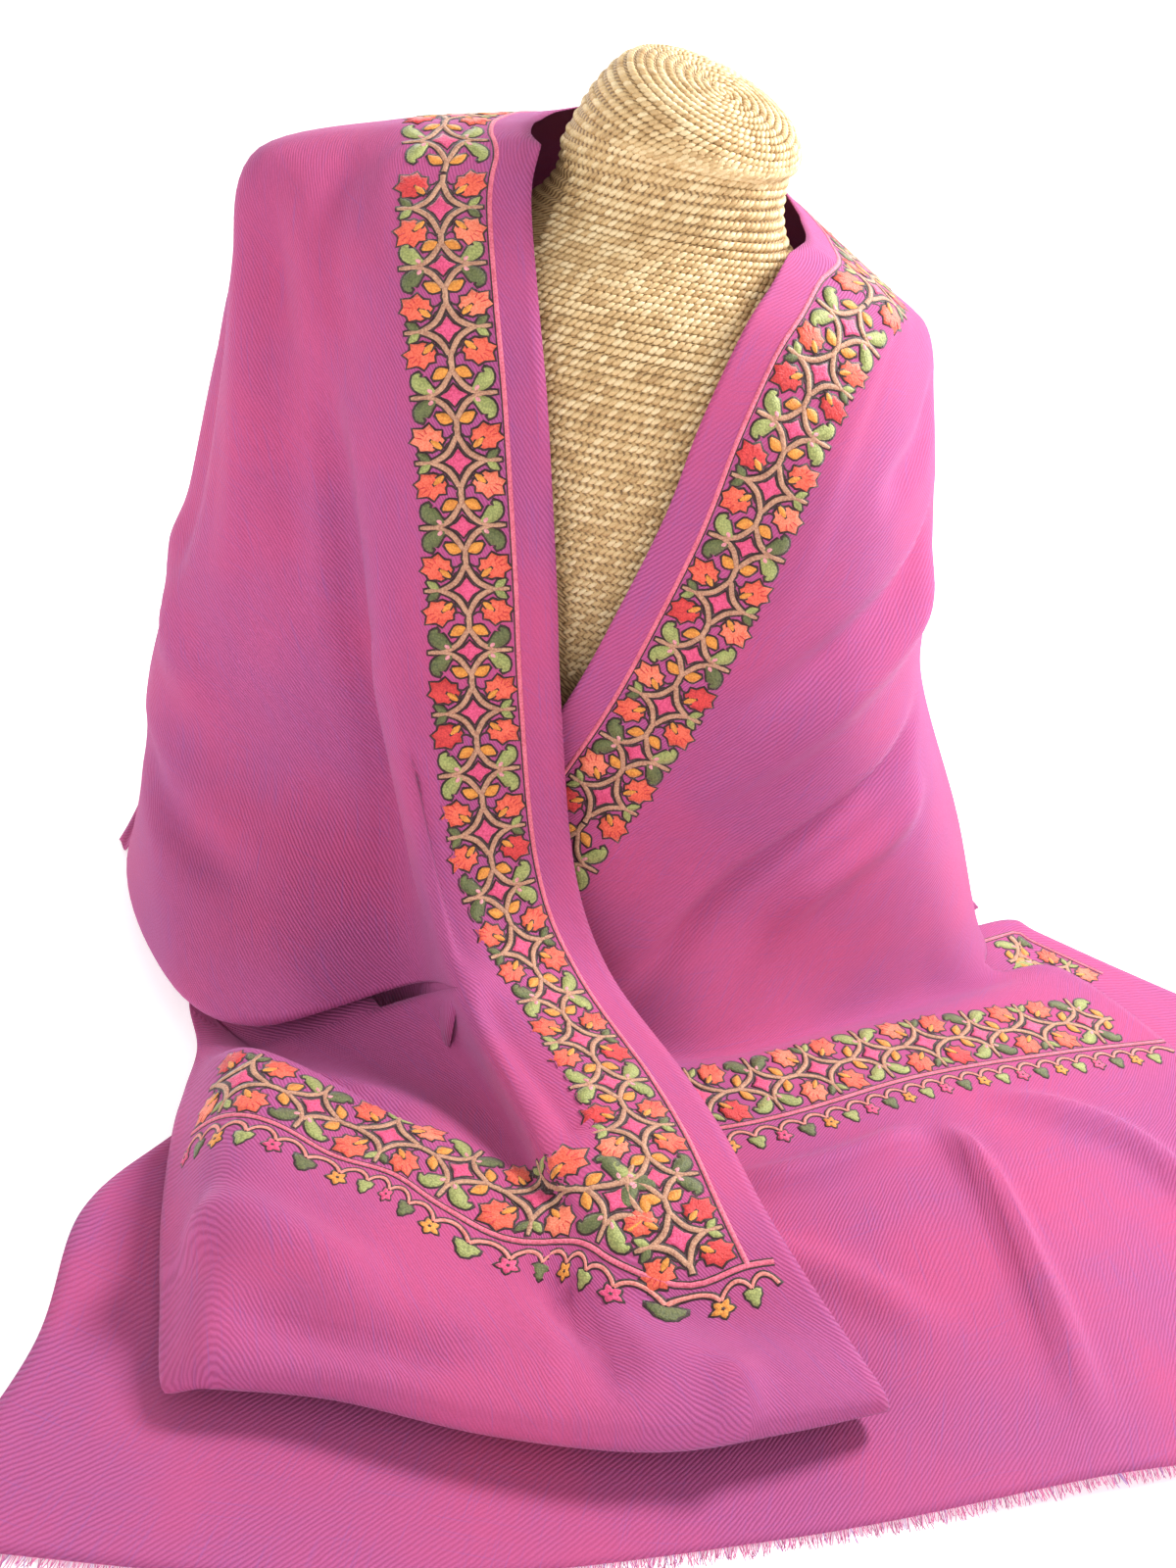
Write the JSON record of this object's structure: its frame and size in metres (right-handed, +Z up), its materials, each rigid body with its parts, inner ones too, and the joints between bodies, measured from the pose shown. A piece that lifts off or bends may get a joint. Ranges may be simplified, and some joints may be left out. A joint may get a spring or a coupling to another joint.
{
  "type": "pashmina shawl draped on a limbless rope-wound bust form",
  "caption": "Long fine wool shawl with floral needlework borders and frayed ends, draped over a limbless rope-wound bust form that stands on a table.",
  "frame": {"origin": "middle of the bust form's flat base, on the table", "axes": "+Z up along the form, -Y to the front where the shawl's halves cross, +X to the right half's side as seen from the front"},
  "size_m": [0.9172, 0.8833, 0.499],
  "materials": {
    "shawl_cloth": "fine wool twill, rose and violet melange",
    "fringe_yarn": "loose frayed wool threads",
    "needlework": "silk and wool embroidery threads in coral, ochre, green, pink and tan, outlined in dark brown",
    "seagrass_rope": "twisted seagrass rope, dry and matte"
  },
  "bodies": {
    "root": {"bust_form": "seagrass_rope", "shawl_left_front": "shawl_cloth", "shawl_left_end": "shawl_cloth", "shawl_left_tuck": "shawl_cloth", "shawl_back": "shawl_cloth", "shawl_right_front": "shawl_cloth", "shawl_right_end": "shawl_cloth", "shawl_right_pleat": "shawl_cloth", "fringe_right": "fringe_yarn", "fringe_pleat": "fringe_yarn"}
  },
  "joints": []
}
